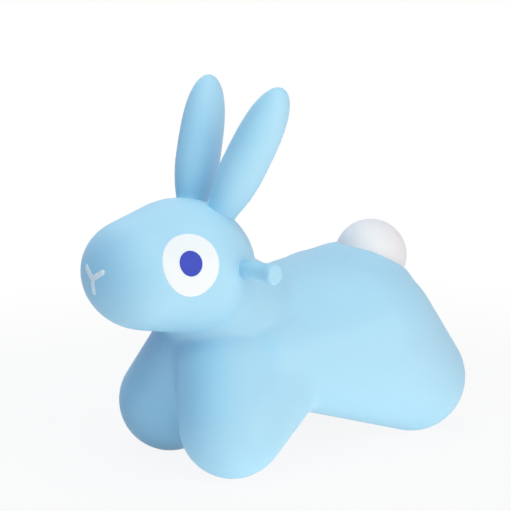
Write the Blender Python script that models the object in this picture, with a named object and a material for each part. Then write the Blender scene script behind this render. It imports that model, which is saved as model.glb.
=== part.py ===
"""An air-filled ride-on rabbit for a small child, in metres, +Z up.

The nose points along -Y and the animal's left side is +X. The origin is on the floor,
under the middle of the body. The skin is moulded PVC. It is cut here into a head, a
trunk and four feet, because the feet squash when the toy is bounced on.
"""

import bmesh
import bpy
from math import asin, cos, pi, radians, sin, sqrt
from mathutils import Matrix, Vector
from mathutils.bvhtree import BVHTree

# Overall sizes
OVERALL_LENGTH = 0.557
FOOT_SPACING = 0.3195
SKIN_WALL = 0.003
MESH_GAP = 0.0003

# Trunk: two balls and the skin drawn tight between them, wider than it is deep
CHEST_RADIUS = 0.085
CHEST_BEHIND_FOOT = 0.125
CHEST_HEIGHT = 0.1595
RUMP_RADIUS = 0.082
RUMP_BEHIND_CHEST = 0.126
RUMP_HEIGHT = 0.181
TRUNK_WIDEN_SCALE = 1.35
NECK_RADIUS = 0.072
NECK_WIDEN_SCALE = 1.15
NECK_BEHIND_FOOT = 0.025
NECK_HEIGHT = 0.215
NAPE_BEHIND_NECK = 0.090
THROAT_BEFORE_FOOT = 0.0485
THROAT_HEIGHT = 0.183

# Legs
SOLE_DEPTH = 0.0015
FRONT_FOOT_RADIUS = 0.069
FRONT_FOOT_OUT = 0.0725
SHOULDER_RADIUS = 0.0705
SHOULDER_OUT = 0.0345
SHOULDER_BEHIND_FOOT = 0.0215
SHOULDER_HEIGHT = 0.1325
ELBOW_RADIUS = 0.074
ELBOW_OUT = 0.0505
ELBOW_BEHIND_FOOT = 0.070
ELBOW_HEIGHT = 0.118
REAR_FOOT_RADIUS = 0.0755
REAR_FOOT_OUT = 0.0485
HIP_RADIUS = 0.110
HIP_OUT = 0.039
HIP_BEFORE_FOOT = 0.087
HIP_HEIGHT = 0.139
FLANK_RADIUS = 0.060
FLANK_OUT = 0.060
FLANK_HEIGHT = 0.143
SQUASH_HEIGHT = 0.050

# Head
SKULL_RADIUS = 0.0865
SKULL_BEFORE_FOOT = 0.027
SKULL_HEIGHT = 0.269
MUZZLE_RADIUS = 0.0715
MUZZLE_HEIGHT = 0.2665
HEAD_WIDEN_SCALE = 1.25

# Skin surface
ROUNDING_CELL = 0.006
FACET_SIZE = 0.021
CREASE_PASSES = 18
FINISH_PASSES = 3
RELAX_PASSES = 2

# Ears: a ball-ended root in a hole of the skull, and a spindle above it
EAR_LENGTH = 0.171
EAR_RADIUS = 0.02925
EAR_ROOT_RADIUS = 0.0208
EAR_LIFT = 0.004
EAR_AIRWAY_RADIUS = 0.009
EAR_PLAY = 0.0005
EAR_WIDEST_SHARE = 0.34
EAR_STATION_SHARES = (1, 0.995, 0.975, 0.935, 0.87, 0.78, 0.64, 0.5, 0.36, 0.22, 0.1)
EAR_TIP_POWER = 3.1
EAR_SEAT_BACK = radians(27.4)
EAR_SEAT_OUT = radians(18.3)
EAR_BACK = radians(21.5)
EAR_SPLAY = radians(15.3)

# Handles: hollow round pegs let into the sides of the skull
HANDLE_SPAN = 0.310
HANDLE_SEAT_DEPTH = 0.013
HANDLE_RADIUS = 0.0119
HANDLE_END_RADIUS = 0.0133
HANDLE_END_LENGTH = 0.014
HANDLE_EDGE_ROUND = 0.0045
HANDLE_SWEEP = radians(11.0)
HANDLE_BEHIND_SKULL = 0.0362
HANDLE_HEIGHT = 0.280

# Face: thin vinyl patches on the skin
PATCH_THICKNESS = 0.0008
EYE_WIDTH = 0.0725
EYE_HEIGHT = 0.079
EYE_AXIS_BEFORE_SKULL = 0.0165
EYE_AXIS_BELOW_SKULL = 0.016
EYE_FORWARD = radians(19.1)
EYE_UP = radians(23.2)
PUPIL_WIDTH = 0.029
PUPIL_HEIGHT = 0.0325
MOUTH_HEIGHT = 0.269
MOUTH_HALF_WIDTH = 0.0185
MOUTH_RISE = 0.0115
MOUTH_STEM = 0.0168
MOUTH_STROKE = 0.0070

# Tail: a ball that stands in a ring, let into a flat place on the rump
TAIL_RADIUS = 0.0497
TAIL_BEHIND_RUMP = 0.0335
TAIL_ABOVE_RUMP = 0.061
TAIL_LEAN = radians(28.5)
TAIL_FLAT_DEPTH = 0.0068
TAIL_CUT_DEPTH = 0.020
RING_WALL = 0.003
RING_DEPTH = 0.026

# Air valve under the tail, with a push-in stopper
VALVE_HEIGHT = 0.163
VALVE_UP = radians(12.0)
VALVE_RADIUS = 0.0125
VALVE_RISE = 0.0022
VALVE_BORE_RADIUS = 0.0052
VALVE_DEPTH = 0.016
PLUG_HEAD_RADIUS = 0.0098
PLUG_HEAD_THICKNESS = 0.0030
PLUG_EDGE_ROUND = 0.0012
PLUG_STEM_LENGTH = 0.013
PLUG_PLAY = 0.0003

# Mesh fineness
BALL_SUBDIVISIONS = 4
HOLE_SUBDIVISIONS = 3
EAR_SIDES = 16
HANDLE_SIDES = 16
TAIL_SIDES = 20
VALVE_SIDES = 16
PATCH_SIDES = 28
ARC_STEPS = 4
MERGE = 0.000005

# Places worked out from the sizes above
REAR_FOOT_Y = OVERALL_LENGTH / 2 - REAR_FOOT_RADIUS
FRONT_FOOT_Y = REAR_FOOT_Y - FOOT_SPACING
CHEST = Vector((0, FRONT_FOOT_Y + CHEST_BEHIND_FOOT, CHEST_HEIGHT))
RUMP = Vector((0, CHEST.y + RUMP_BEHIND_CHEST, RUMP_HEIGHT))
NECK = Vector((0, FRONT_FOOT_Y + NECK_BEHIND_FOOT, NECK_HEIGHT))
SKULL = Vector((0, FRONT_FOOT_Y - SKULL_BEFORE_FOOT, SKULL_HEIGHT))
MUZZLE = Vector((0, MUZZLE_RADIUS - OVERALL_LENGTH / 2, MUZZLE_HEIGHT))
TAIL = Vector((0, RUMP.y + TAIL_BEHIND_RUMP, RUMP.z + TAIL_ABOVE_RUMP))
SIDES = (("left", 1), ("right", -1))

SKIN_ROUGHNESS = 0.55
PATCH_ROUGHNESS = 0.5
SKIN_BLUE = (0.40, 0.72, 0.90, 1)
FACE_WHITE = (0.93, 0.94, 0.97, 1)
PUPIL_BLUE = (0.05, 0.08, 0.52, 1)
TAIL_WHITE = (0.86, 0.85, 0.90, 1)
VALVE_WHITE = (0.85, 0.88, 0.90, 1)


def clear_scene():
    for old in list(bpy.data.objects):
        bpy.data.objects.remove(old, do_unlink=True)


def plastic(name, colour, roughness):
    """A plain moulded plastic in one colour."""
    material = bpy.data.materials.new(name)
    material.use_nodes = True
    shader = material.node_tree.nodes["Principled BSDF"]
    shader.inputs["Base Color"].default_value = colour
    shader.inputs["Roughness"].default_value = roughness
    shader.inputs["Metallic"].default_value = 0
    return material


def add_object(name, mesh, material=None):
    """Puts the mesh in the scene under this name, shaded smooth, with its own material."""
    mesh.name = name
    mesh.shade_smooth()
    mesh.materials.clear()
    if material:
        mesh.materials.append(material)
    made = bpy.data.objects.new(name, mesh)
    bpy.context.scene.collection.objects.link(made)
    return made


def mesh_from(bm):
    """Turns a bmesh into a mesh, with its doubles merged and its faces turned out."""
    bmesh.ops.remove_doubles(bm, verts=bm.verts, dist=MERGE)
    bmesh.ops.recalc_face_normals(bm, faces=bm.faces)
    mesh = bpy.data.meshes.new("shape")
    bm.to_mesh(mesh)
    bm.free()
    return mesh


def guide(name, mesh):
    """An object that only shapes others, kept out of renders."""
    made = add_object(name, mesh)
    made.hide_render = True
    made.display_type = "WIRE"
    return made


def settled_mesh(obj):
    """The object's mesh with its modifiers carried out, in world space. It removes the object."""
    graph = bpy.context.evaluated_depsgraph_get()
    mesh = bpy.data.meshes.new_from_object(obj.evaluated_get(graph))
    mesh.transform(obj.matrix_world)
    bpy.data.objects.remove(obj, do_unlink=True)
    return mesh


def remesh(obj, cell):
    step = obj.modifiers.new("Remesh", "REMESH")
    step.mode = "VOXEL"
    step.voxel_size = cell


def smooth(obj, passes):
    step = obj.modifiers.new("Smooth", "SMOOTH")
    step.iterations = passes


def wrap(obj, target, mode):
    step = obj.modifiers.new("Shrinkwrap", "SHRINKWRAP")
    step.target = target
    step.wrap_method = "NEAREST_SURFACEPOINT"
    step.wrap_mode = mode


def boolean(obj, operation, other):
    step = obj.modifiers.new(operation.title() + " " + other.name, "BOOLEAN")
    step.operation = operation
    step.solver = "EXACT"
    step.object = other


def weld(obj):
    step = obj.modifiers.new("Weld", "WELD")
    step.merge_threshold = MERGE


def aim(origin, direction):
    """The matrix that puts a part turned about Z at the origin given, pointing along the direction."""
    turn = Vector(direction).to_track_quat("Z", "Y").to_matrix().to_4x4()
    return Matrix.Translation(origin) @ turn


def box_guide(name, low, high, matrix=None):
    """A cutting block between two corners, turned and placed by the matrix."""
    bm = bmesh.new()
    middle = (Vector(low) + Vector(high)) / 2
    size = Vector(high) - Vector(low)
    bmesh.ops.create_cube(bm, size=1)
    bmesh.ops.scale(bm, vec=size, verts=bm.verts)
    bmesh.ops.translate(bm, vec=middle, verts=bm.verts)
    if matrix:
        bmesh.ops.transform(bm, matrix=matrix, verts=bm.verts)
    return guide(name, mesh_from(bm))


def drawn_tight(shape, first, first_radius, second, second_radius, widen=1):
    """Adds the skin drawn tight over two balls, then widens it across X."""
    balls = bmesh.new()
    for centre, radius in ((first, first_radius), (second, second_radius)):
        bmesh.ops.create_icosphere(
            balls, subdivisions=BALL_SUBDIVISIONS, radius=radius, matrix=Matrix.Translation(centre)
        )
    points = [ball_point.co.copy() for ball_point in balls.verts]
    balls.free()
    hull = bmesh.new()
    for point in points:
        hull.verts.new(point)
    found = bmesh.ops.convex_hull(hull, input=hull.verts)
    inside = {piece for piece in found["geom_interior"] if isinstance(piece, bmesh.types.BMVert)}
    bmesh.ops.delete(hull, geom=list(inside), context="VERTS")
    bmesh.ops.scale(hull, vec=(widen, 1, 1), verts=hull.verts)
    part = mesh_from(hull)
    shape.from_mesh(part)
    bpy.data.meshes.remove(part)


def animal_form():
    """The rounded outer form of the whole animal, without ears, handles and tail."""
    shape = bmesh.new()
    drawn_tight(shape, CHEST, CHEST_RADIUS, RUMP, RUMP_RADIUS, TRUNK_WIDEN_SCALE)
    drawn_tight(shape, CHEST, NECK_RADIUS, NECK, NECK_RADIUS, NECK_WIDEN_SCALE)
    drawn_tight(shape, SKULL, SKULL_RADIUS, MUZZLE, MUZZLE_RADIUS, HEAD_WIDEN_SCALE)
    for _, side in SIDES:
        shoulder = Vector((side * SHOULDER_OUT, FRONT_FOOT_Y + SHOULDER_BEHIND_FOOT, SHOULDER_HEIGHT))
        front = Vector((side * FRONT_FOOT_OUT, FRONT_FOOT_Y, FRONT_FOOT_RADIUS - SOLE_DEPTH))
        hip = Vector((side * HIP_OUT, REAR_FOOT_Y - HIP_BEFORE_FOOT, HIP_HEIGHT))
        rear = Vector((side * REAR_FOOT_OUT, REAR_FOOT_Y, REAR_FOOT_RADIUS - SOLE_DEPTH))
        elbow = Vector((side * ELBOW_OUT, FRONT_FOOT_Y + ELBOW_BEHIND_FOOT, ELBOW_HEIGHT))
        flank = Vector((side * FLANK_OUT, elbow.y, FLANK_HEIGHT))
        drawn_tight(shape, shoulder, SHOULDER_RADIUS, front, FRONT_FOOT_RADIUS)
        drawn_tight(shape, elbow, ELBOW_RADIUS, front, FRONT_FOOT_RADIUS)
        drawn_tight(shape, hip, HIP_RADIUS, rear, REAR_FOOT_RADIUS)
        drawn_tight(shape, flank, FLANK_RADIUS, hip, HIP_RADIUS)
    mesh = bpy.data.meshes.new("forms")
    shape.to_mesh(mesh)
    shape.free()

    joined = guide("joined_forms", mesh)
    remesh(joined, ROUNDING_CELL)
    sharp = guide("sharp_form", settled_mesh(joined))
    soft = guide("soft_form", sharp.data.copy())
    smooth(soft, CREASE_PASSES)
    wrap(soft, sharp, "OUTSIDE")
    smooth(soft, FINISH_PASSES)
    rounded = guide("rounded_form", settled_mesh(soft))
    facets = guide("faceted_form", rounded.data.copy())
    remesh(facets, FACET_SIZE)
    wrap(facets, rounded, "ON_SURFACE")
    smooth(facets, RELAX_PASSES)
    wrap(facets, rounded, "ON_SURFACE")
    form = settled_mesh(facets)
    for spent in (sharp, rounded):
        bpy.data.objects.remove(spent, do_unlink=True)
    return form


def turned(profile, sides):
    """Spins a profile of (radius, height) points round Z. It closes on itself or on the axis."""
    bm = bmesh.new()
    points = [bm.verts.new((radius, 0, height)) for radius, height in profile]
    edges = [bm.edges.new(pair) for pair in zip(points, points[1:])]
    if profile[0][0] > 0:
        edges.append(bm.edges.new((points[-1], points[0])))
    bmesh.ops.spin(
        bm, geom=points + edges, cent=(0, 0, 0), axis=(0, 0, 1), angle=2 * pi, steps=sides, use_merge=True
    )
    return mesh_from(bm)


def arc(centre, radius, start, end, steps=ARC_STEPS):
    """Points of an arc. A centre and a point are each (radius, height), and angles run from +Z."""
    angles = [start + (end - start) * step / steps for step in range(steps + 1)]
    return [(centre[0] + radius * sin(angle), centre[1] + radius * cos(angle)) for angle in angles]


def flattened(name, form, depth, tail_place):
    """The form, taken in by the depth all over, and cut flat where the tail stands."""
    body = guide(name, form.copy())
    inset = body.modifiers.new("Inset", "DISPLACE")
    inset.strength = -depth
    inset.mid_level = 0
    reach = 2 * TAIL_RADIUS
    block = box_guide(name + "_cut", (-reach, -reach, -TAIL_FLAT_DEPTH - depth), (reach, reach, reach), tail_place)
    boolean(body, "DIFFERENCE", block)
    weld(body)
    body.modifiers.new("Triangulate", "TRIANGULATE")
    mesh = settled_mesh(body)
    bpy.data.objects.remove(block, do_unlink=True)
    return mesh


def hollow_skin(outside, inside):
    """The whole skin: all that lies between its outer surface and its inner one."""
    skin = guide("whole_skin", outside.copy())
    air = guide("air_inside", inside)
    boolean(skin, "DIFFERENCE", air)
    mesh = settled_mesh(skin)
    bpy.data.objects.remove(air, do_unlink=True)
    return mesh


def skin_piece(name, skin, steps):
    """A piece of the skin, cut by the steps, each an operation and its guide."""
    made = add_object(name, skin.copy(), plastic(name, SKIN_BLUE, SKIN_ROUGHNESS))
    for operation, other in steps:
        boolean(made, operation, other)
    weld(made)
    return made


def turned_object(name, profile, sides, place, material):
    made = add_object(name, turned(profile, sides), material)
    made.matrix_world = place
    return made


def turned_guide(name, profile, sides, place):
    made = guide(name, turned(profile, sides))
    made.matrix_world = place
    return made


def ball_guide(name, centre, radius, subdivisions):
    bm = bmesh.new()
    place = Matrix.Translation(centre)
    bmesh.ops.create_icosphere(bm, subdivisions=subdivisions, radius=radius, matrix=place)
    return guide(name, mesh_from(bm))


def ear_profile():
    """Runs from the tip down the outside to the airway, then up the inside. The hinge is at zero."""
    widest = EAR_LENGTH * EAR_WIDEST_SHARE
    airway = pi - asin(EAR_AIRWAY_RADIUS / EAR_ROOT_RADIUS)

    def outer_radius(height):
        if height > widest:
            rise = (height - widest) / (EAR_LENGTH - widest)
            return EAR_RADIUS * sqrt(1 - rise**EAR_TIP_POWER)
        return EAR_RADIUS - (EAR_RADIUS - EAR_ROOT_RADIUS) * (1 - height / widest) ** 2

    outer = [(outer_radius(EAR_LENGTH * share), EAR_LENGTH * share) for share in EAR_STATION_SHARES]
    hollow = 1 - SKIN_WALL / EAR_LENGTH
    inner = [(max(0, radius - SKIN_WALL), height * hollow) for radius, height in outer]
    outer_root = arc((0, 0), EAR_ROOT_RADIUS, pi / 2, airway)
    inner_radius = EAR_ROOT_RADIUS - SKIN_WALL
    inner_airway = pi - asin(EAR_AIRWAY_RADIUS / inner_radius)
    inner_root = arc((0, 0), inner_radius, pi / 2, inner_airway)
    return outer + outer_root + inner_root[::-1] + inner[::-1]


def handle_profile(length):
    """Runs from the middle of the end face to the root, then back up the inside. The root is open."""
    edge = (HANDLE_END_RADIUS - HANDLE_EDGE_ROUND, length - HANDLE_EDGE_ROUND)
    end = [(0, length)] + arc(edge, HANDLE_EDGE_ROUND, 0, pi / 2)
    neck = [(HANDLE_RADIUS, length - HANDLE_END_LENGTH), (HANDLE_RADIUS, 0)]
    bore = HANDLE_RADIUS - SKIN_WALL
    inner = [(bore, 0), (bore, length - HANDLE_EDGE_ROUND)]
    inner += [(bore - HANDLE_EDGE_ROUND / 2, length - SKIN_WALL), (0, length - SKIN_WALL)]
    return end + neck + inner


def tail_profile():
    """A ball skin with an open foot, cut off below the middle of the ball."""
    outer_end = pi / 2 + asin(TAIL_CUT_DEPTH / TAIL_RADIUS)
    inner_radius = TAIL_RADIUS - SKIN_WALL
    inner_end = pi / 2 + asin(TAIL_CUT_DEPTH / inner_radius)
    outer = arc((0, 0), TAIL_RADIUS, 0, outer_end, TAIL_SIDES // 2)
    inner = arc((0, 0), inner_radius, 0, inner_end, TAIL_SIDES // 3)
    return outer + inner[::-1]


def stroke_mesh(start, end):
    """A bar with round ends between two points (x, z), long enough to pass through the muzzle."""
    along = (Vector(end) - Vector(start)).normalized()
    across = Vector((-along.y, along.x))
    outline = []
    for centre, way in ((Vector(end), 1), (Vector(start), -1)):
        for step in range(2 * ARC_STEPS + 1):
            angle = pi * step / (2 * ARC_STEPS) - pi / 2
            reach = along * cos(angle) + across * sin(angle)
            outline.append(centre + reach * (way * MOUTH_STROKE / 2))
    bm = bmesh.new()
    corners = [bm.verts.new((point.x, MUZZLE.y, point.y)) for point in outline]
    face = bm.faces.new(corners)
    raised = bmesh.ops.extrude_face_region(bm, geom=[face])["geom"]
    raised = [corner for corner in raised if isinstance(corner, bmesh.types.BMVert)]
    bmesh.ops.translate(bm, vec=(0, -2 * MUZZLE_RADIUS, 0), verts=raised)
    return mesh_from(bm)


def patch(name, form, outline, lift, colour):
    """A thin sheet that follows the skin, held off it by the lift and cut to an outline."""
    made = add_object(name, form.copy(), plastic(name, colour, PATCH_ROUGHNESS))
    raised = made.modifiers.new("Lift", "DISPLACE")
    raised.strength = lift
    raised.mid_level = 0
    sheet = made.modifiers.new("Sheet", "SOLIDIFY")
    sheet.thickness = PATCH_THICKNESS
    sheet.offset = 1
    boolean(made, "INTERSECT", outline)
    weld(made)
    return made


def surface_along(form, axis_point, direction):
    """The point where a line from far outside, back along the direction, meets the form."""
    tree = BVHTree.FromPolygons([v.co for v in form.vertices], [p.vertices for p in form.polygons])
    start = Vector(axis_point) + Vector(direction) * OVERALL_LENGTH
    return tree.ray_cast(start, -Vector(direction))[0]


clear_scene()
tail_place = aim(TAIL, (0, sin(TAIL_LEAN), cos(TAIL_LEAN)))
rounded_form = animal_form()
form = flattened("outer_surface", rounded_form, 0, tail_place)
skin = hollow_skin(form, flattened("inner_surface", rounded_form, SKIN_WALL, tail_place))

# The planes that part the skin
gap = MESH_GAP / 2
far = OVERALL_LENGTH
throat = Vector((0, FRONT_FOOT_Y - THROAT_BEFORE_FOOT, THROAT_HEIGHT))
nape = Vector((0, NECK.y + NAPE_BEHIND_NECK, CHEST.z + CHEST_RADIUS))
rise = nape - throat
neck_place = aim(nape, (0, -rise.z, rise.y))
above_neck = box_guide("above_neck", (-far, -far, gap), (far, far, far), neck_place)
above_neck_gap = box_guide("above_neck_with_gap", (-far, -far, -gap), (far, far, far), neck_place)
below_trunk = box_guide("below_trunk", (-far, -far, -far), (far, far, SQUASH_HEIGHT + gap))

# Ears and the round holes that hold their roots
ear_blue = plastic("ear_blue", SKIN_BLUE, SKIN_ROUGHNESS)
head_cuts = [("INTERSECT", above_neck)]
for side_name, side in SIDES:
    seat_reach = SKULL_RADIUS + EAR_LIFT
    seat = Vector(
        (
            side * sin(EAR_SEAT_OUT) * seat_reach * HEAD_WIDEN_SCALE,
            cos(EAR_SEAT_OUT) * sin(EAR_SEAT_BACK) * seat_reach,
            cos(EAR_SEAT_OUT) * cos(EAR_SEAT_BACK) * seat_reach,
        )
    )
    root = SKULL + seat
    ear_rise = cos(EAR_SPLAY)
    ear_way = Vector((side * sin(EAR_SPLAY), ear_rise * sin(EAR_BACK), ear_rise * cos(EAR_BACK)))
    turned_object("ear_" + side_name, ear_profile(), EAR_SIDES, aim(root, ear_way), ear_blue.copy())
    hole = ball_guide("ear_hole_" + side_name, root, EAR_ROOT_RADIUS + EAR_PLAY, HOLE_SUBDIVISIONS)
    head_cuts.append(("DIFFERENCE", hole))

# Handles and the holes that they are let into, as deep as the left one goes
left_way = Vector((cos(HANDLE_SWEEP), sin(HANDLE_SWEEP), 0))
left_tip = Vector((HANDLE_SPAN / 2, SKULL.y + HANDLE_BEHIND_SKULL, HANDLE_HEIGHT))
handle_length = (left_tip - surface_along(form, left_tip, left_way)).length + HANDLE_SEAT_DEPTH
for side_name, side in SIDES:
    mirror = Matrix.Diagonal((side, 1, 1))
    way = mirror @ left_way
    place = aim(mirror @ left_tip - way * handle_length, way)
    blue = plastic("handle_" + side_name, SKIN_BLUE, SKIN_ROUGHNESS)
    turned_object("handle_" + side_name, handle_profile(handle_length), HANDLE_SIDES, place, blue)
    bore = HANDLE_RADIUS + MESH_GAP
    hole_profile = [(0, handle_length), (bore, handle_length), (bore, -bore), (0, -bore)]
    hole = turned_guide("handle_hole_" + side_name, hole_profile, HANDLE_SIDES, place)
    head_cuts.append(("DIFFERENCE", hole))

skin_piece("head_shell", skin, head_cuts)

# Tail ball, and the ring under the flat place that it stands in
ring_radius = TAIL_RADIUS + RING_WALL
ring_top = -TAIL_FLAT_DEPTH - SKIN_WALL / 2
ring_profile = [(0, ring_top), (ring_radius, ring_top), (ring_radius, -RING_DEPTH), (0, -RING_DEPTH)]
ring = turned_guide("tail_ring", ring_profile, TAIL_SIDES, tail_place)
hole_profile = arc((0, 0), TAIL_RADIUS + MESH_GAP, 0, pi, TAIL_SIDES)
tail_hole = turned_guide("tail_hole", hole_profile, TAIL_SIDES, tail_place)
tail_white = plastic("tail_white", TAIL_WHITE, SKIN_ROUGHNESS)
turned_object("tail_ball", tail_profile(), TAIL_SIDES, tail_place, tail_white)

# Air valve in the rump
valve_way = Vector((0, cos(VALVE_UP), sin(VALVE_UP)))
valve_seat = surface_along(form, (0, RUMP.y, VALVE_HEIGHT), valve_way)
valve_place = aim(valve_seat, valve_way)
sleeve_profile = [
    (VALVE_BORE_RADIUS, VALVE_RISE),
    (VALVE_RADIUS - PLUG_EDGE_ROUND, VALVE_RISE),
    (VALVE_RADIUS, VALVE_RISE - PLUG_EDGE_ROUND),
    (VALVE_RADIUS, -VALVE_DEPTH),
    (VALVE_BORE_RADIUS, -VALVE_DEPTH),
]
white = plastic("valve_sleeve", VALVE_WHITE, SKIN_ROUGHNESS)
turned_object("valve_sleeve", sleeve_profile, VALVE_SIDES, valve_place, white)
plug_foot = VALVE_RISE + MESH_GAP
plug_top = plug_foot + PLUG_HEAD_THICKNESS
stem = VALVE_BORE_RADIUS - PLUG_PLAY
plug_profile = [
    (0, plug_top),
    (PLUG_HEAD_RADIUS - PLUG_EDGE_ROUND, plug_top),
    (PLUG_HEAD_RADIUS, plug_top - PLUG_EDGE_ROUND),
    (PLUG_HEAD_RADIUS, plug_foot),
    (stem, plug_foot),
    (stem, plug_foot - PLUG_STEM_LENGTH + PLUG_EDGE_ROUND),
    (stem - PLUG_EDGE_ROUND, plug_foot - PLUG_STEM_LENGTH),
    (0, plug_foot - PLUG_STEM_LENGTH),
]
plug_white = plastic("valve_plug", VALVE_WHITE, SKIN_ROUGHNESS)
turned_object("valve_plug", plug_profile, VALVE_SIDES, valve_place, plug_white)
valve_cut = VALVE_RADIUS + MESH_GAP
hole_profile = [(0, VALVE_DEPTH), (valve_cut, VALVE_DEPTH), (valve_cut, -VALVE_DEPTH), (0, -VALVE_DEPTH)]
valve_hole = turned_guide("valve_hole", hole_profile, VALVE_SIDES, valve_place)

trunk_steps = [("DIFFERENCE", above_neck_gap), ("DIFFERENCE", below_trunk), ("UNION", ring)]
trunk_steps += [("DIFFERENCE", tail_hole), ("DIFFERENCE", valve_hole)]
skin_piece("trunk_shell", skin, trunk_steps)

# Feet
elbow_end = FRONT_FOOT_Y + ELBOW_BEHIND_FOOT + ELBOW_RADIUS
hip_end = REAR_FOOT_Y - HIP_BEFORE_FOOT - HIP_RADIUS
belly_y = (elbow_end + hip_end) / 2
for side_name, side in SIDES:
    inner, outer = sorted((side * gap, side * far))
    for end_name, low_y, high_y in (("front", -far, belly_y - gap), ("rear", belly_y + gap, far)):
        name = end_name + "_foot_" + side_name
        block = box_guide("block_" + name, (inner, low_y, 0), (outer, high_y, SQUASH_HEIGHT - gap))
        skin_piece(name, skin, [("INTERSECT", block)])

# Face
for side_name, side in SIDES:
    axis_point = SKULL - Vector((0, EYE_AXIS_BEFORE_SKULL, EYE_AXIS_BELOW_SKULL))
    level = cos(EYE_UP)
    way = Vector((side * level * cos(EYE_FORWARD), -level * sin(EYE_FORWARD), sin(EYE_UP)))
    for part_name, width, height, lift, colour in (
        ("eye_white_", EYE_WIDTH, EYE_HEIGHT, MESH_GAP, FACE_WHITE),
        ("pupil_", PUPIL_WIDTH, PUPIL_HEIGHT, 2 * MESH_GAP + PATCH_THICKNESS, PUPIL_BLUE),
    ):
        outline = turned([(0, 2 * SKULL_RADIUS), (1, 2 * SKULL_RADIUS), (1, 0), (0, 0)], PATCH_SIDES)
        outline.transform(Matrix.Diagonal((width / 2, height / 2, 1, 1)))
        cutter = guide(part_name + "outline_" + side_name, outline)
        cutter.matrix_world = aim(axis_point, way)
        patch(part_name + side_name, form, cutter, lift, colour)

fork = (0, MOUTH_HEIGHT)
mouth_outline = guide("mouth_stem", stroke_mesh(fork, (0, MOUTH_HEIGHT - MOUTH_STEM)))
for side_name, side in SIDES:
    arm_tip = (side * MOUTH_HALF_WIDTH, MOUTH_HEIGHT + MOUTH_RISE)
    boolean(mouth_outline, "UNION", guide("mouth_arm_" + side_name, stroke_mesh(fork, arm_tip)))
patch("mouth", form, mouth_outline, MESH_GAP, FACE_WHITE)
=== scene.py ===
import bmesh
import bpy
from math import asin, cos, pi, radians, sin, sqrt
from mathutils import Matrix, Vector
from mathutils.bvhtree import BVHTree


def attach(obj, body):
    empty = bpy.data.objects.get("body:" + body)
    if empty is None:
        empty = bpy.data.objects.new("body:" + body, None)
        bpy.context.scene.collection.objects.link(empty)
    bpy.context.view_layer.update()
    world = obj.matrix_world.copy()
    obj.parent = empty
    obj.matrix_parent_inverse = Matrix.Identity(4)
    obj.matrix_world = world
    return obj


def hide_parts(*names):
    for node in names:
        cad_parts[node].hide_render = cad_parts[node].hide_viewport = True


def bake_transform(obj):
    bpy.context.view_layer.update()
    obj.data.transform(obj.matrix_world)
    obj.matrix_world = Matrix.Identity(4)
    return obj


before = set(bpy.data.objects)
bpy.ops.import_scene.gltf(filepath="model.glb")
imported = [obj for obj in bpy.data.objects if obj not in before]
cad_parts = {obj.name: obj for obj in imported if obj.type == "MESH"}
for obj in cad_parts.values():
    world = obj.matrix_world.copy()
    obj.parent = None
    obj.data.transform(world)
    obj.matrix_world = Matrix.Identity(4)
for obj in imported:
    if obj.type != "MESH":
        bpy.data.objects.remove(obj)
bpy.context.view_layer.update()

# The skin: one rotational moulding in soft vinyl, hollow and full of air, from the nose to the
# rump and down to four round feet. A flat place with a round seat is moulded for the tail. It is
# drawn here without the seams that the working model has at the neck and the ankles.
LENGTH = 0.557
FOOT_SPACING = 0.3195
SOLE_DEPTH = 0.0015
FRONT_FOOT = {"radius": 0.069, "out": 0.0725}
REAR_FOOT = {"radius": 0.0755, "out": 0.0485}
REAR_FOOT_Y = LENGTH / 2 - REAR_FOOT["radius"]
FRONT_FOOT_Y = REAR_FOOT_Y - FOOT_SPACING
CHEST_BEHIND_FOOT = 0.125
CHEST_HEIGHT = 0.1595
CHEST = Vector((0, FRONT_FOOT_Y + CHEST_BEHIND_FOOT, CHEST_HEIGHT))
RUMP_BEHIND_CHEST = 0.126
RUMP_HEIGHT = 0.181
RUMP = Vector((0, CHEST.y + RUMP_BEHIND_CHEST, RUMP_HEIGHT))
NECK_BEHIND_FOOT = 0.025
NECK_HEIGHT = 0.215
NECK = Vector((0, FRONT_FOOT_Y + NECK_BEHIND_FOOT, NECK_HEIGHT))
SKULL_BEFORE_FOOT = 0.027
SKULL_HEIGHT = 0.269
SKULL = Vector((0, FRONT_FOOT_Y - SKULL_BEFORE_FOOT, SKULL_HEIGHT))
SKULL_RADIUS = 0.0865
MUZZLE_RADIUS = 0.0715
MUZZLE_HEIGHT = 0.2665
MUZZLE = Vector((0, MUZZLE_RADIUS - LENGTH / 2, MUZZLE_HEIGHT))
CHEST_RADIUS = 0.085
RUMP_RADIUS = 0.082
NECK_RADIUS = 0.072
NECK_WIDENING = 1.15
TRUNK_WIDENING = 1.35
HEAD_WIDENING = 1.25
SHOULDER = {"radius": 0.0705, "out": 0.0345, "behind": 0.0215, "height": 0.1325}
ELBOW = {"radius": 0.074, "out": 0.0505, "behind": 0.070, "height": 0.118}
HIP = {"radius": 0.110, "out": 0.039, "behind": -0.087, "height": 0.139}
FLANK = {"radius": 0.060, "out": 0.060, "height": 0.143}
TAIL_RADIUS = 0.0497
TAIL_BEHIND_RUMP = 0.0335
TAIL_ABOVE_RUMP = 0.061
TAIL = RUMP + Vector((0, TAIL_BEHIND_RUMP, TAIL_ABOVE_RUMP))
TAIL_LEAN = radians(30.5)
TAIL_FLAT_DEPTH = 0.0015
TAIL_GROOVE = 0.0006
SKIN_CELL = 0.003
CREASE_PASSES = 56
FINISH_PASSES = 12
EDGE_PASSES = 2
TURNING_SIDES = 96
BALL_SUBDIVISIONS = 6
MERGE_DISTANCE = 0.000002
CRISP_ANGLE = radians(50)
SIDES = (("left", 1), ("right", -1))


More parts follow.
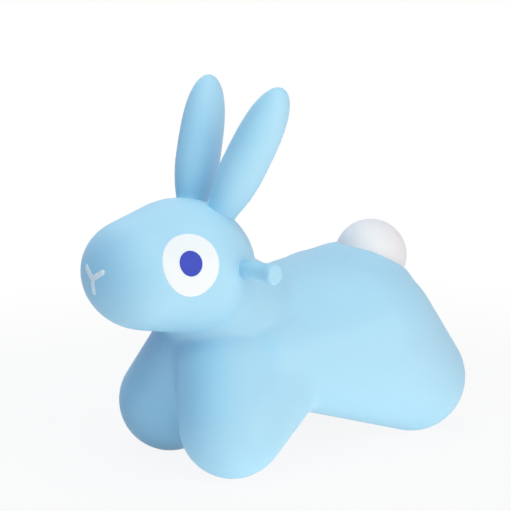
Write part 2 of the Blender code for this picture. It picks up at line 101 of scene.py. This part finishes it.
def drawn_tight(shape, first, first_radius, second, second_radius, widening=1):
    """Adds the skin drawn tight over two balls, then widens it across X."""
    hull = bmesh.new()
    for centre, radius in ((first, first_radius), (second, second_radius)):
        place = Matrix.Translation(centre)
        bmesh.ops.create_icosphere(hull, subdivisions=BALL_SUBDIVISIONS, radius=radius, matrix=place)
    found = bmesh.ops.convex_hull(hull, input=hull.verts)
    inside = {piece for piece in found["geom_interior"] if isinstance(piece, bmesh.types.BMVert)}
    bmesh.ops.delete(hull, geom=list(inside), context="VERTS")
    bmesh.ops.scale(hull, vec=(widening, 1, 1), verts=hull.verts)
    bmesh.ops.recalc_face_normals(hull, faces=hull.faces)
    part = bpy.data.meshes.new("part")
    hull.to_mesh(part)
    hull.free()
    shape.from_mesh(part)
    bpy.data.meshes.remove(part)


def new_object(name, mesh):
    """Puts a mesh in the scene as an object of the same name, smooth shaded."""
    mesh.name = name
    mesh.shade_smooth()
    made = bpy.data.objects.new(name, mesh)
    bpy.context.scene.collection.objects.link(made)
    return made


def settle(obj):
    """Carries out the object's modifiers, in place, so that its mesh is the finished one."""
    graph = bpy.context.evaluated_depsgraph_get()
    mesh = bpy.data.meshes.new_from_object(obj.evaluated_get(graph))
    obj.modifiers.clear()
    obj.data = mesh
    mesh.name = obj.name
    return obj


def remesh(obj):
    """Joins everything in the object into one even skin of small squares."""
    step = obj.modifiers.new("Remesh", "REMESH")
    step.mode = "VOXEL"
    step.voxel_size = SKIN_CELL
    settle(obj)


def smooth(obj, passes):
    """Adds a step that eases every corner towards its neighbours, as often as passes says."""
    step = obj.modifiers.new("Smooth", "SMOOTH")
    step.iterations = passes


def boolean(obj, operation, other):
    """Cuts or joins the object with another one, which is then removed."""
    step = obj.modifiers.new(operation, "BOOLEAN")
    step.operation = operation
    step.solver = "EXACT"
    step.object = other
    settle(obj)
    bpy.data.objects.remove(other, do_unlink=True)


def arc(centre, radius, start, end, steps):
    """Points of an arc. A centre and a point are each (radius, height), and angles run from +Z."""
    angles = [start + (end - start) * step / steps for step in range(steps + 1)]
    return [(centre[0] + radius * sin(angle), centre[1] + radius * cos(angle)) for angle in angles]


def turned(name, profile, sides, place):
    """Spins a profile of (radius, height) points, from axis to axis, and puts it in its place."""
    bm = bmesh.new()
    points = [bm.verts.new((radius, 0, height)) for radius, height in profile]
    edges = [bm.edges.new(pair) for pair in zip(points, points[1:])]
    bmesh.ops.spin(
        bm, geom=points + edges, cent=(0, 0, 0), axis=(0, 0, 1), angle=2 * pi, steps=sides, use_merge=True
    )
    bmesh.ops.remove_doubles(bm, verts=bm.verts, dist=MERGE_DISTANCE)
    bmesh.ops.recalc_face_normals(bm, faces=bm.faces)
    bmesh.ops.transform(bm, matrix=place, verts=bm.verts)
    mesh = bpy.data.meshes.new(name)
    bm.to_mesh(mesh)
    bm.free()
    return new_object(name, mesh)


def aim(origin, direction):
    """The matrix that puts a piece turned about Z at the origin given, along the direction."""
    turn = Vector(direction).to_track_quat("Z", "Y").to_matrix().to_4x4()
    return Matrix.Translation(origin) @ turn


legs = (
    (FRONT_FOOT, FRONT_FOOT_Y, (SHOULDER, ELBOW)),
    (REAR_FOOT, REAR_FOOT_Y, (HIP,)),
)
shape = bmesh.new()
drawn_tight(shape, CHEST, CHEST_RADIUS, RUMP, RUMP_RADIUS, TRUNK_WIDENING)
drawn_tight(shape, CHEST, NECK_RADIUS, NECK, NECK_RADIUS, NECK_WIDENING)
drawn_tight(shape, SKULL, SKULL_RADIUS, MUZZLE, MUZZLE_RADIUS, HEAD_WIDENING)
for _, side in SIDES:
    for foot, foot_y, joints in legs:
        sole = Vector((side * foot["out"], foot_y, foot["radius"] - SOLE_DEPTH))
        for joint in joints:
            top = Vector((side * joint["out"], foot_y + joint["behind"], joint["height"]))
            drawn_tight(shape, top, joint["radius"], sole, foot["radius"])
    hip = Vector((side * HIP["out"], REAR_FOOT_Y + HIP["behind"], HIP["height"]))
    flank = Vector((side * FLANK["out"], FRONT_FOOT_Y + ELBOW["behind"], FLANK["height"]))
    drawn_tight(shape, flank, FLANK["radius"], hip, HIP["radius"])
mesh = bpy.data.meshes.new("forms")
shape.to_mesh(mesh)
shape.free()

sharp = new_object("sharp_form", mesh)
remesh(sharp)
skin = new_object("skin", sharp.data.copy())
smooth(skin, CREASE_PASSES)
step = skin.modifiers.new("Shrinkwrap", "SHRINKWRAP")
step.target = sharp
step.wrap_method = "NEAREST_SURFACEPOINT"
step.wrap_mode = "OUTSIDE"
smooth(skin, FINISH_PASSES)
settle(skin)
bpy.data.objects.remove(sharp, do_unlink=True)

tail_place = aim(TAIL, (0, sin(TAIL_LEAN), cos(TAIL_LEAN)))
above_flat = [(0, TAIL_RADIUS), (2 * TAIL_RADIUS, TAIL_RADIUS), (2 * TAIL_RADIUS, -TAIL_FLAT_DEPTH)]
above_flat.append((0, -TAIL_FLAT_DEPTH))
boolean(skin, "DIFFERENCE", turned("above_flat", above_flat, TURNING_SIDES, tail_place))
remesh(skin)
smooth(skin, EDGE_PASSES)
settle(skin)
seat = arc((0, 0), TAIL_RADIUS + TAIL_GROOVE, 0, pi, TURNING_SIDES // 2)
boolean(skin, "DIFFERENCE", turned("tail_seat", seat, TURNING_SIDES, tail_place))
skin.data.set_sharp_from_angle(angle=CRISP_ANGLE)
for corner in skin.data.vertices:
    corner.co.z = max(corner.co.z, 0)
skin_corners = [corner.co for corner in skin.data.vertices]
skin_tree = BVHTree.FromPolygons(skin_corners, [face.vertices for face in skin.data.polygons])


class Wire:
    """A shader socket that takes part in sums. Each operation adds a Math node."""

    def __init__(self, finish, socket):
        self.finish = finish
        self.socket = socket

    def joined(self, operation, first, second):
        return self.finish.node("Math", {"operation": operation}, {0: first, 1: second})

    def __add__(self, other):
        return self.joined("ADD", self, other)

    def __mul__(self, other):
        return self.joined("MULTIPLY", self, other)

    __radd__ = __add__
    __rmul__ = __mul__


class Finish:
    """The material of one piece: a Principled shader, and the nodes that vary it."""

    def __init__(self, name, **constants):
        self.material = bpy.data.materials.new(name)
        self.material.use_nodes = True
        self.tree = self.material.node_tree
        self.shader = self.tree.nodes["Principled BSDF"]
        for socket, value in constants.items():
            self.shader.inputs[socket.replace("_", " ")].default_value = value
        self.place = self.node("TexCoord", {}, {}, "Object")

    def node(self, kind, settings, values, output=0):
        """Adds a node, sets its settings first and then its values and links."""
        made = self.tree.nodes.new("ShaderNode" + kind)
        for name, value in settings.items():
            setattr(made, name, value)
        for socket, value in values.items():
            if isinstance(value, Wire):
                self.tree.links.new(value.socket, made.inputs[socket])
            else:
                made.inputs[socket].default_value = value
        return Wire(self, made.outputs[output])

    def noise(self, size, detail=2.0, roughness=0.5):
        """Noise from 0 to 1, whose blotches are about the size given, in metres."""
        values = {"Vector": self.place, "Scale": 1 / size, "Detail": detail, "Roughness": roughness}
        return self.node("TexNoise", {}, values, "Fac")

    def blend(self, mask, first, second):
        """A colour that goes from the first to the second as the mask goes from 0 to 1."""
        return self.node("Mix", {"data_type": "RGBA"}, {0: mask, 6: first, 7: second}, 2)

    def feed(self, socket, wire):
        self.tree.links.new(wire.socket, self.shader.inputs[socket])

    def bump(self, height, distance):
        """Raises the surface by the height wire, where 1 is the distance given in metres."""
        values = {"Strength": 1.0, "Distance": distance, "Height": height}
        self.feed("Normal", self.node("Bump", {}, values))


CLOUD_SIZE = 0.045
FLECK_SIZE = 0.0016
CLOUD_SHARE = 0.7
FLECK_SHARE = 0.25
SHEEN_SIZE = 0.012
SHEEN_SPREAD = 0.10
PEEL_SIZE = 0.0034
PEEL_SHARE = 0.75
PEEL_HEIGHT = 0.00007


def moulded_vinyl(name, colour, deep, roughness=0.5, specular=0.5):
    """Soft matte vinyl: cloudy pigment, a fine orange-peel skin and a slightly uneven sheen."""
    finish = Finish(name, Roughness=roughness, Metallic=0.0, IOR=1.45, Specular_IOR_Level=specular)
    cloud = finish.noise(CLOUD_SIZE, detail=3.0)
    fleck = finish.noise(FLECK_SIZE, detail=1.0)
    pigment = cloud * CLOUD_SHARE + fleck * FLECK_SHARE
    finish.feed("Base Color", finish.blend(pigment, deep, colour))
    sheen = finish.noise(SHEEN_SIZE) * SHEEN_SPREAD
    finish.feed("Roughness", sheen + (roughness - SHEEN_SPREAD / 2))
    peel = finish.noise(PEEL_SIZE, detail=1.5, roughness=0.4)
    finish.bump(peel * PEEL_SHARE + fleck * FLECK_SHARE, PEEL_HEIGHT)
    return finish


SKIN_BLUE = (0.450, 0.738, 0.915, 1)
SKIN_DEEP_BLUE = (0.395, 0.693, 0.890, 1)

vinyl = moulded_vinyl("skin_vinyl", SKIN_BLUE, SKIN_DEEP_BLUE)
skin.data.materials.clear()
skin.data.materials.append(vinyl.material)
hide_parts("trunk_shell", "head_shell")
for side_name, _ in SIDES:
    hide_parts("front_foot_" + side_name, "rear_foot_" + side_name)
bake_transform(skin)

# The tail: a hollow white vinyl ball with an open foot, moulded by itself and pushed into its
# round seat, where the air in the skin holds it.
TAIL_WHITE = (0.925, 0.905, 0.930, 1)
TAIL_SHADE = (0.885, 0.865, 0.895, 1)
TAIL_CUT_DEPTH = 0.020
TAIL_STEPS = 40

cut = pi / 2 + asin(TAIL_CUT_DEPTH / TAIL_RADIUS)
ball_profile = arc((0, 0), TAIL_RADIUS, 0, cut, TAIL_STEPS) + [(0, -TAIL_CUT_DEPTH)]
tail = turned("tail", ball_profile, TURNING_SIDES, tail_place)
tail.data.materials.append(moulded_vinyl("tail_vinyl", TAIL_WHITE, TAIL_SHADE).material)
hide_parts("tail_ball")
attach(tail, "body")

# The ears: two hollow vinyl spindles, thickest below the middle, that lean back and apart.
# Each one is moulded with a ball-ended root, held in the top of the skull.
EAR_LENGTH = 0.171
EAR_RADIUS = 0.02925
EAR_ROOT_RADIUS = 0.0208
EAR_WIDEST = 0.34 * EAR_LENGTH
EAR_TIP_POWER = 3.1
EAR_TIP_CROWDING = 0.8
EAR_SEAT_RISE = 0.004
EAR_SEAT_REACH = SKULL_RADIUS + EAR_SEAT_RISE
EAR_SEAT_BACK = radians(27.4)
EAR_SEAT_OUT = radians(18.3)
EAR_BACK = radians(21.5)
EAR_SPLAY = radians(15.3)
EAR_TIP_STEPS = 28
EAR_SIDE_STEPS = 24
EAR_ROOT_STEPS = 14
EAR_TURNING_SIDES = 64


def ear_radius(height):
    """The ear's radius at a height over the root, below its widest place and above it."""
    if height > EAR_WIDEST:
        rise = (height - EAR_WIDEST) / (EAR_LENGTH - EAR_WIDEST)
        return EAR_RADIUS * sqrt(1 - rise**EAR_TIP_POWER)
    return EAR_RADIUS - (EAR_RADIUS - EAR_ROOT_RADIUS) * (1 - height / EAR_WIDEST) ** 2


tip_heights = [
    EAR_WIDEST + (EAR_LENGTH - EAR_WIDEST) * cos(pi / 2 * step / EAR_TIP_STEPS) ** EAR_TIP_CROWDING
    for step in range(1, EAR_TIP_STEPS)
]
side_heights = [EAR_WIDEST * (1 - step / EAR_SIDE_STEPS) for step in range(EAR_SIDE_STEPS)]
ear_profile = [(0, EAR_LENGTH)] + [(ear_radius(height), height) for height in tip_heights + side_heights]
ear_profile += arc((0, 0), EAR_ROOT_RADIUS, pi / 2, pi, EAR_ROOT_STEPS)

for side_name, side in SIDES:
    level = cos(EAR_SEAT_OUT) * EAR_SEAT_REACH
    sideways = side * sin(EAR_SEAT_OUT) * EAR_SEAT_REACH * HEAD_WIDENING
    root = SKULL + Vector((sideways, level * sin(EAR_SEAT_BACK), level * cos(EAR_SEAT_BACK)))
    rise = cos(EAR_SPLAY)
    way = (side * sin(EAR_SPLAY), rise * sin(EAR_BACK), rise * cos(EAR_BACK))
    ear = turned("ear_spindle_" + side_name, ear_profile, EAR_TURNING_SIDES, aim(root, way))
    finish = moulded_vinyl("ear_vinyl_" + side_name, SKIN_BLUE, SKIN_DEEP_BLUE)
    ear.data.materials.append(finish.material)
    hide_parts("ear_" + side_name)
    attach(ear, "ear_" + side_name)

# The handles: two hollow vinyl pegs, moulded with a slightly thicker rounded end and let into
# the sides of the skull behind the eyes.
HANDLE_SPAN = 0.310
HANDLE_LENGTH = 0.0678
HANDLE_RADIUS = 0.0119
HANDLE_END_RADIUS = 0.0133
HANDLE_END_LENGTH = 0.014
HANDLE_EDGE_ROUND = 0.0045
HANDLE_EDGE_STEPS = 9
HANDLE_NECK_START_SHARE = 0.72
HANDLE_NECK_SPREAD_SHARE = 0.56
HANDLE_NECK_STEPS = 8
HANDLE_TURNING_SIDES = 56
HANDLE_SWEEP = radians(11.0)
HANDLE_BEHIND_SKULL = 0.0362
HANDLE_HEIGHT = 0.280

edge = (HANDLE_END_RADIUS - HANDLE_EDGE_ROUND, HANDLE_LENGTH - HANDLE_EDGE_ROUND)
handle_profile = [(0, HANDLE_LENGTH), (edge[0] / 2, HANDLE_LENGTH)]
handle_profile += arc(edge, HANDLE_EDGE_ROUND, 0, pi / 2, HANDLE_EDGE_STEPS)
swell = HANDLE_END_RADIUS - HANDLE_RADIUS
for step in range(HANDLE_NECK_STEPS + 1):
    share = step / HANDLE_NECK_STEPS
    below_end = HANDLE_END_LENGTH * (HANDLE_NECK_START_SHARE + HANDLE_NECK_SPREAD_SHARE * share)
    radius = HANDLE_END_RADIUS - swell * share * share * (3 - 2 * share)
    handle_profile.append((radius, HANDLE_LENGTH - below_end))
handle_profile += [(HANDLE_RADIUS, HANDLE_LENGTH / 2), (HANDLE_RADIUS, 0), (0, 0)]

for side_name, side in SIDES:
    way = Vector((side * cos(HANDLE_SWEEP), sin(HANDLE_SWEEP), 0))
    tip = Vector((side * HANDLE_SPAN / 2, SKULL.y + HANDLE_BEHIND_SKULL, HANDLE_HEIGHT))
    place = aim(tip - way * HANDLE_LENGTH, way)
    handle = turned("peg_" + side_name, handle_profile, HANDLE_TURNING_SIDES, place)
    finish = moulded_vinyl("handle_vinyl_" + side_name, SKIN_BLUE, SKIN_DEEP_BLUE)
    handle.data.materials.append(finish.material)
    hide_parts("handle_" + side_name)
    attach(handle, "body")

# The eyes: an oval of white vinyl film with a smaller oval of deep blue film on it, pressed on
# the cheek so that both follow its curve. Their rims are cut clean and slightly rounded.
EYE_WIDTH = 0.0725
EYE_HEIGHT = 0.079
PUPIL_WIDTH = 0.029
PUPIL_HEIGHT = 0.0325
EYE_AXIS_BEFORE_SKULL = 0.0165
EYE_AXIS_BELOW_SKULL = 0.016
EYE_AXIS = SKULL - Vector((0, EYE_AXIS_BEFORE_SKULL, EYE_AXIS_BELOW_SKULL))
EYE_FORWARD = radians(19.1)
EYE_UP = radians(23.2)
FILM = 0.0007
FILM_ROUND = 0.0005
FILM_SINK = 0.0010
FILM_CAST_SIZE = 0.014
FILM_SHEEN_SIZE = 0.006
FILM_SHEEN_SPREAD = 0.08
FILM_GRAIN_SIZE = 0.0022
FILM_GRAIN_HEIGHT = 0.00002
FILM_ROUGHNESS = 0.42
OVAL_RINGS = 14
OVAL_TURNING_SIDES = 72
RIM_OUT_SHARE = 0.7
RIM_DROP_SHARE = 0.3
EYE_WHITE = (0.930, 0.935, 0.960, 1)
EYE_WHITE_SHADE = (0.900, 0.910, 0.940, 1)
PUPIL_BLUE = (0.030, 0.060, 0.510, 1)
PUPIL_DEEP_BLUE = (0.022, 0.048, 0.470, 1)


def lay_on_skin(obj, place):
    """Drops a mesh, drawn flat about the origin, on the skin along its own Z, with its heights."""
    way = place.to_3x3() @ Vector((0, 0, 1))
    for corner in obj.data.vertices:
        start = place @ Vector((corner.co.x, corner.co.y, LENGTH))
        corner.co = skin_tree.ray_cast(start, -way)[0] + way * corner.co.z


def film(name, colour, shade):
    """Vinyl film: an even colour with a faint cast, and a satin face with a fine grain."""
    finish = Finish(name, Roughness=FILM_ROUGHNESS, Metallic=0.0, IOR=1.46, Specular_IOR_Level=0.4)
    finish.feed("Base Color", finish.blend(finish.noise(FILM_CAST_SIZE, detail=3.0), shade, colour))
    sheen = finish.noise(FILM_SHEEN_SIZE) * FILM_SHEEN_SPREAD
    finish.feed("Roughness", sheen + (FILM_ROUGHNESS - FILM_SHEEN_SPREAD / 2))
    finish.bump(finish.noise(FILM_GRAIN_SIZE), FILM_GRAIN_HEIGHT)
    return finish


def oval_film(name, width, height, base):
    """An oval patch with rings that follow the cheek, its face one film over the base."""
    top = base + FILM
    rim = 1 - 2 * FILM_ROUND / width
    rounded = 0.5 * (rim + RIM_OUT_SHARE * (1 - rim))
    rings = [(rim * step / OVAL_RINGS / 2, top) for step in range(OVAL_RINGS)]
    rings += [(0.5 * rim, top), (rounded, top - RIM_DROP_SHARE * FILM_ROUND)]
    rings += [(0.5, top - FILM_ROUND), (0.5, -FILM_SINK), (0, -FILM_SINK)]
    return turned(name, rings, OVAL_TURNING_SIDES, Matrix.Diagonal((width, height, 1, 1)))


for side_name, side in SIDES:
    level = cos(EYE_UP)
    way = Vector((side * level * cos(EYE_FORWARD), -level * sin(EYE_FORWARD), sin(EYE_UP)))
    place = aim(EYE_AXIS, way)
    white = oval_film("eye_film_" + side_name, EYE_WIDTH, EYE_HEIGHT, 0)
    pupil = oval_film("pupil_film_" + side_name, PUPIL_WIDTH, PUPIL_HEIGHT, FILM)
    white_film = film("eye_film_white_" + side_name, EYE_WHITE, EYE_WHITE_SHADE)
    blue_film = film("pupil_film_blue_" + side_name, PUPIL_BLUE, PUPIL_DEEP_BLUE)
    white.data.materials.append(white_film.material)
    pupil.data.materials.append(blue_film.material)
    for patch, node, slot in ((white, "eye_white_", "eye_white"), (pupil, "pupil_", "pupil")):
        lay_on_skin(patch, place)
        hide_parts(node + side_name)
        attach(patch, "body")

# The mouth: a three-stroke patch of the same white film on the front of the muzzle, two arms
# and a stem with round ends.
MOUTH_HEIGHT = 0.269
MOUTH_HALF_WIDTH = 0.0185
MOUTH_RISE = 0.0115
MOUTH_STEM = 0.0168
MOUTH_STROKE = 0.0070
MOUTH_CUTS = 24
MOUTH_MERGE_DISTANCE = 0.00002
MOUTH_RIM_ANGLE = pi / 3
STROKE_END_SHARE = 0.499
STROKE_END_SEGMENTS = 10
MOUTH_WHITE = (0.965, 0.975, 0.985, 1)


def stroke(name, start, end):
    """A flat bar with round ends between two points of the muzzle's front plane."""
    along = Vector(end) - Vector(start)
    middle = (Vector(start) + Vector(end)) / 2
    bm = bmesh.new()
    bmesh.ops.create_cube(bm, size=1)
    size = (along.length + MOUTH_STROKE, MOUTH_STROKE, FILM + FILM_SINK)
    bmesh.ops.scale(bm, vec=size, verts=bm.verts)
    bmesh.ops.translate(bm, vec=(0, 0, (FILM - FILM_SINK) / 2), verts=bm.verts)
    upright = [e for e in bm.edges if abs(e.verts[0].co.z - e.verts[1].co.z) > FILM]
    bmesh.ops.bevel(
        bm,
        geom=upright,
        offset=MOUTH_STROKE * STROKE_END_SHARE,
        segments=STROKE_END_SEGMENTS,
        profile=0.5,
        affect="EDGES",
        material=-1,
    )
    turn = Vector((along.x, along.y, 0)).to_track_quat("X", "Z").to_matrix().to_4x4()
    bmesh.ops.transform(bm, matrix=Matrix.Translation((middle.x, middle.y, 0)) @ turn, verts=bm.verts)
    mesh = bpy.data.meshes.new(name)
    bm.to_mesh(mesh)
    bm.free()
    return new_object(name, mesh)


mouth = stroke("mouth_film", (0, 0), (0, -MOUTH_STEM))
for side_name, side in SIDES:
    boolean(mouth, "UNION", stroke("arm_" + side_name, (0, 0), (side * MOUTH_HALF_WIDTH, MOUTH_RISE)))
bm = bmesh.new()
bm.from_mesh(mouth.data)
bmesh.ops.remove_doubles(bm, verts=bm.verts, dist=MOUTH_MERGE_DISTANCE)
upper = [e for e in bm.edges if len(e.link_faces) == 2 and min(end.co.z for end in e.verts) > 0]
rim = [e for e in upper if e.calc_face_angle() > MOUTH_RIM_ANGLE]
bmesh.ops.bevel(
    bm,
    geom=rim,
    offset=FILM_ROUND / 2,
    segments=2,
    profile=0.5,
    affect="EDGES",
    material=-1,
    clamp_overlap=True,
)
reach = 2 * MOUTH_HALF_WIDTH
for step in range(1, MOUTH_CUTS):
    offset = reach * (step / MOUTH_CUTS - 0.5)
    for normal in ((1, 0, 0), (0, 1, 0)):
        geometry = bm.verts[:] + bm.edges[:] + bm.faces[:]
        bmesh.ops.bisect_plane(bm, geom=geometry, plane_co=Vector(normal) * offset, plane_no=normal)
bmesh.ops.triangulate(bm, faces=bm.faces)
bm.to_mesh(mouth.data)
bm.free()
front = Matrix(((1, 0, 0, 0), (0, 0, -1, MUZZLE.y), (0, 1, 0, MOUTH_HEIGHT), (0, 0, 0, 1)))
lay_on_skin(mouth, front)
mouth.data.materials.append(film("mouth_film_white", MOUTH_WHITE, EYE_WHITE_SHADE).material)
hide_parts("mouth")
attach(mouth, "body")

# The air valve: a soft white sleeve welded in the rump under the tail, closed by a push-in
# plug whose head has a shallow dish and a raised rim to pull it by.
VALVE_WHITE = (0.80, 0.83, 0.85, 1)
VALVE_SHADE = (0.74, 0.78, 0.81, 1)
VALVE_UP = radians(12.0)
VALVE_HEIGHT = 0.163
VALVE_RADIUS = 0.0125
VALVE_RISE = 0.0022
VALVE_BORE = 0.0052
VALVE_DEPTH = 0.016
VALVE_FLOOR = 0.002
VALVE_ROUGHNESS = 0.45
VALVE_SPECULAR = 0.4
VALVE_EDGE_STEPS = 6
VALVE_LIP_STEPS = 4
VALVE_TURNING_SIDES = 56
PLUG_RADIUS = 0.0098
PLUG_THICKNESS = 0.0030
PLUG_STEM = 0.013
PLUG_PLAY = 0.0003
PLUG_DISH_SHARE = 0.55
PLUG_RIM_SHARE = 0.68
SOFT_EDGE = 0.0011

valve_way = Vector((0, cos(VALVE_UP), sin(VALVE_UP)))
valve_seat = skin_tree.ray_cast(Vector((0, RUMP.y, VALVE_HEIGHT)) + valve_way * LENGTH, -valve_way)[0]
valve_place = aim(valve_seat, valve_way)
edge = (VALVE_RADIUS - SOFT_EDGE, VALVE_RISE - SOFT_EDGE)
lip_edge = (VALVE_BORE + SOFT_EDGE / 2, VALVE_RISE - SOFT_EDGE / 2)
sleeve_profile = [(0, -VALVE_DEPTH), (VALVE_RADIUS, -VALVE_DEPTH)]
sleeve_profile += arc(edge, SOFT_EDGE, pi / 2, 0, VALVE_EDGE_STEPS)
sleeve_profile += arc(lip_edge, SOFT_EDGE / 2, 0, -pi / 2, VALVE_LIP_STEPS)
sleeve_profile += [(VALVE_BORE, VALVE_FLOOR - VALVE_DEPTH), (0, VALVE_FLOOR - VALVE_DEPTH)]
sleeve = turned("valve_sleeve_body", sleeve_profile, VALVE_TURNING_SIDES, valve_place)

foot = VALVE_RISE + PLUG_PLAY
top = foot + PLUG_THICKNESS
dish = top - SOFT_EDGE
edge = (PLUG_RADIUS - SOFT_EDGE, top - SOFT_EDGE)
stem = VALVE_BORE - PLUG_PLAY
plug_profile = [(0, dish), (PLUG_RADIUS * PLUG_DISH_SHARE, dish)]
plug_profile.append((PLUG_RADIUS * PLUG_RIM_SHARE, top - SOFT_EDGE / 4))
plug_profile += arc(edge, SOFT_EDGE, 0, pi / 2, VALVE_EDGE_STEPS)
plug_profile += [(PLUG_RADIUS, foot), (stem, foot), (stem, foot - PLUG_STEM + SOFT_EDGE)]
plug_profile += [(stem - SOFT_EDGE, foot - PLUG_STEM), (0, foot - PLUG_STEM)]
plug = turned("plug_body", plug_profile, VALVE_TURNING_SIDES, valve_place)

for piece, node, body in ((sleeve, "valve_sleeve", "body"), (plug, "valve_plug", "valve_plug")):
    finish = moulded_vinyl(node + "_vinyl", VALVE_WHITE, VALVE_SHADE, VALVE_ROUGHNESS, VALVE_SPECULAR)
    piece.data.materials.append(finish.material)
    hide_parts(node)
    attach(piece, body)

# The studio: a table of pale paper that glows on the animal's left, in a dim blue surround. The
# camera and reflections see both as white but for the shadow. Soft lamps stand on the left, in
# front, behind and overhead, and the camera is at the photograph's place.
CAMERA_TARGET = Vector((-0.0089, -0.0211, 0.2641))
CAMERA_AZIMUTH = 54.14
CAMERA_ELEVATION = 12.54
CAMERA_DISTANCE = 2.660
FOCAL_PIXELS = 2007.2
IMAGE_PIXELS = 511
SENSOR = 36.0
CAMERA_REACH = 100
WHITE = (1, 1, 1, 1)


def around(azimuth, elevation):
    """The direction from the object to something at this azimuth and elevation, in degrees."""
    level = cos(radians(elevation))
    turn = radians(azimuth)
    return Vector((sin(turn) * level, -cos(turn) * level, sin(radians(elevation))))


camera = bpy.data.objects.new("camera", bpy.data.cameras.new("camera"))
bpy.context.scene.collection.objects.link(camera)
back = around(CAMERA_AZIMUTH, CAMERA_ELEVATION)
camera.location = CAMERA_TARGET + back * CAMERA_DISTANCE
camera.rotation_mode = "QUATERNION"
camera.rotation_quaternion = (-back).to_track_quat("-Z", "Y")
camera.data.sensor_width = SENSOR
camera.data.lens = SENSOR * FOCAL_PIXELS / IMAGE_PIXELS
camera.data.clip_end = CAMERA_REACH
bpy.context.scene.camera = camera

LAMP_SIZE = 1.6
LAMP_DISTANCE = 2.4
TABLE_SIZE = 8
TABLE_GAP = 0.0002
PAPER_GREY = (0.75, 0.75, 0.75, 1)
TABLE_GLOW = 0.66
GLOW_WHITE = (1.0, 0.97, 0.86, 1)
GLOW_WAY = (1, 0, 0)
GLOW_START = -0.06
GLOW_END = 0.14
NEAR_TABLE = 0.45
FAR_TABLE = 1.1
NEAR_WHITE = 0.90
SURROUND_BLUE = (0.0, 0.20, 1.0, 1)
SURROUND_STRENGTH = 0.22
# Each lamp's azimuth and elevation in degrees, its power in watts and its colour
LAMPS = {
    "low_key_lamp": (99, 14, 19.6, (1.0, 0.82, 0.57)),
    "high_key_lamp": (84, 45, 10.8, (1.0, 0.99, 0.83)),
    "front_lamp": (24, 45, 14.0, (0.55, 0.97, 0.93)),
    "back_lamp": (264, 45, 11.0, (0.96, 0.98, 0.92)),
    "top_lamp": (0, 89, 22.6, (1.0, 0.92, 0.72)),
}

for name, (azimuth, elevation, power, colour) in LAMPS.items():
    light = bpy.data.lights.new(name, "AREA")
    light.size = LAMP_SIZE
    light.energy = power
    light.color = colour
    lamp = bpy.data.objects.new(name, light)
    bpy.context.scene.collection.objects.link(lamp)
    way = around(azimuth, elevation)
    lamp.location = CAMERA_TARGET + way * LAMP_DISTANCE
    lamp.rotation_mode = "QUATERNION"
    lamp.rotation_quaternion = (-way).to_track_quat("-Z", "Y")

table_mesh = bpy.data.meshes.new("table")
bm = bmesh.new()
bmesh.ops.create_grid(bm, x_segments=2, y_segments=2, size=TABLE_SIZE)
bm.to_mesh(table_mesh)
bm.free()
table = new_object("table", table_mesh)
table.location.z = -TABLE_GAP
paper = Finish("table_paper", Base_Color=PAPER_GREY, Roughness=0.9, Specular_IOR_Level=0.1)
white = paper.node("Emission", {}, {"Color": WHITE, "Strength": 1.0})
along = paper.node("VectorMath", {"operation": "DOT_PRODUCT"}, {0: paper.place, 1: GLOW_WAY}, "Value")
ramp = {"Value": along, "From Min": GLOW_START, "From Max": GLOW_END, "To Min": 0.0, "To Max": 1.0}
glow = paper.node("Emission", {}, {"Color": GLOW_WHITE, "Strength": TABLE_GLOW})
glowing = paper.node("AddShader", {}, {0: Wire(paper, paper.shader.outputs[0]), 1: glow})
share = paper.node("MapRange", {}, ramp)
lit_paper = paper.node("MixShader", {}, {0: share, 1: Wire(paper, paper.shader.outputs[0]), 2: glowing})
seen = paper.node("LightPath", {}, {}, "Is Camera Ray") + paper.node("LightPath", {}, {}, "Is Glossy Ray")
reach = paper.node("VectorMath", {"operation": "LENGTH"}, {0: paper.place}, "Value")
ramp = {"Value": reach, "From Min": NEAR_TABLE, "From Max": FAR_TABLE, "To Min": NEAR_WHITE, "To Max": 1.0}
whiteness = paper.node("MapRange", {"interpolation_type": "SMOOTHSTEP"}, ramp)
shown = paper.node("MixShader", {}, {0: whiteness, 1: Wire(paper, paper.shader.outputs[0]), 2: white})
either = paper.node("MixShader", {}, {0: seen, 1: lit_paper, 2: shown})
paper.tree.links.new(either.socket, paper.tree.nodes["Material Output"].inputs["Surface"])
table.data.materials.append(paper.material)

world = bpy.data.worlds.new("surround")
bpy.context.scene.world = world
world.use_nodes = True
nodes, links = world.node_tree.nodes, world.node_tree.links
surround = nodes["Background"]
surround.inputs["Color"].default_value = SURROUND_BLUE
surround.inputs["Strength"].default_value = SURROUND_STRENGTH
backdrop = nodes.new("ShaderNodeBackground")
backdrop.inputs["Color"].default_value = WHITE
light_path = nodes.new("ShaderNodeLightPath")
seen = nodes.new("ShaderNodeMath")
links.new(light_path.outputs["Is Camera Ray"], seen.inputs[0])
links.new(light_path.outputs["Is Glossy Ray"], seen.inputs[1])
choice = nodes.new("ShaderNodeMixShader")
links.new(seen.outputs[0], choice.inputs[0])
links.new(surround.outputs[0], choice.inputs[1])
links.new(backdrop.outputs[0], choice.inputs[2])
links.new(choice.outputs[0], nodes["World Output"].inputs["Surface"])
bpy.context.scene.view_settings.view_transform = "Standard"
